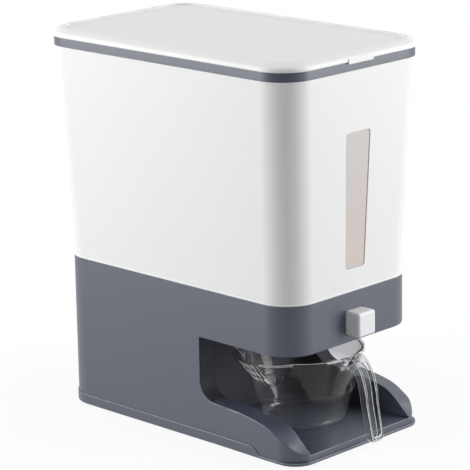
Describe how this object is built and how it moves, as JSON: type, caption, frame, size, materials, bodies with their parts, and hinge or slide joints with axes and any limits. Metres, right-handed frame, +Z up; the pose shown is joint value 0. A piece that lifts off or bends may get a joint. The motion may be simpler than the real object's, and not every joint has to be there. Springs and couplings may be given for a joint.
{
  "type": "rice dispenser",
  "caption": "Free-standing rice dispenser: a tapered lidded bin over a base with an open bay, a push-button gate and a pull-out measuring cup with a strainer spout.",
  "frame": {"origin": "middle of the whole object's footprint, on the surface it stands on", "axes": "+Z up, -Y towards the button and cup, +X to the right seen from the front"},
  "size_m": [0.199, 0.3552, 0.38],
  "materials": {
    "white_plastic": "satin white",
    "blue_grey_plastic": "satin blue-grey",
    "button_plastic": "satin off-white",
    "frosted_pane": "frosted translucent",
    "clear_plastic": "clear moulded",
    "inner_plastic": "natural",
    "dark_plastic": "dark grey",
    "soft_seal": "soft, pale",
    "rubber": "matt black",
    "steel": "plated"
  },
  "bodies": {
    "housing": {"hinge_pins": "steel", "mouth_collar": "blue_grey_plastic", "bin_shell": "white_plastic", "window_pane": "frosted_pane", "window_gasket": "soft_seal", "hopper_floor": "white_plastic", "throat_seal": "soft_seal", "base_housing": "blue_grey_plastic", "bottom_cover": "blue_grey_plastic", "rubber_feet": "rubber", "bottom_screws": "steel", "gate_carrier": "inner_plastic", "gate_cover": "inner_plastic", "rod_bearing": "inner_plastic", "return_spring": "steel", "spring_pin": "steel", "outlet_chute": "dark_plastic", "carrier_screws": "steel", "cover_screws": "steel", "bearing_screws": "steel", "chute_screws": "steel"},
    "lid": {"lid_shell": "white_plastic", "lid_liner": "white_plastic", "lid_seal": "soft_seal"},
    "button": {"button_cap": "button_plastic", "push_rod": "steel", "shutter": "inner_plastic", "rod_screw": "steel"},
    "cup": {"measuring_cup": "clear_plastic"}
  },
  "joints": [
    {"name": "lid_hinge", "type": "hinge", "parent": "housing", "child": "lid", "pos_m": [0, 0.17357, 0.367], "axis": [-1, 0, 0], "range_deg": [0, 100]},
    {"name": "button_slide", "type": "slide", "parent": "housing", "child": "button", "axis": [0, 1, 0], "range_m": [0, 0.013], "stiffness_N_per_m": 400, "springref_m": -0.006, "deforming": ["return_spring"]},
    {"name": "cup_slide", "type": "slide", "parent": "housing", "child": "cup", "axis": [0, -1, 0], "range_m": [0, 0.18]}
  ]
}
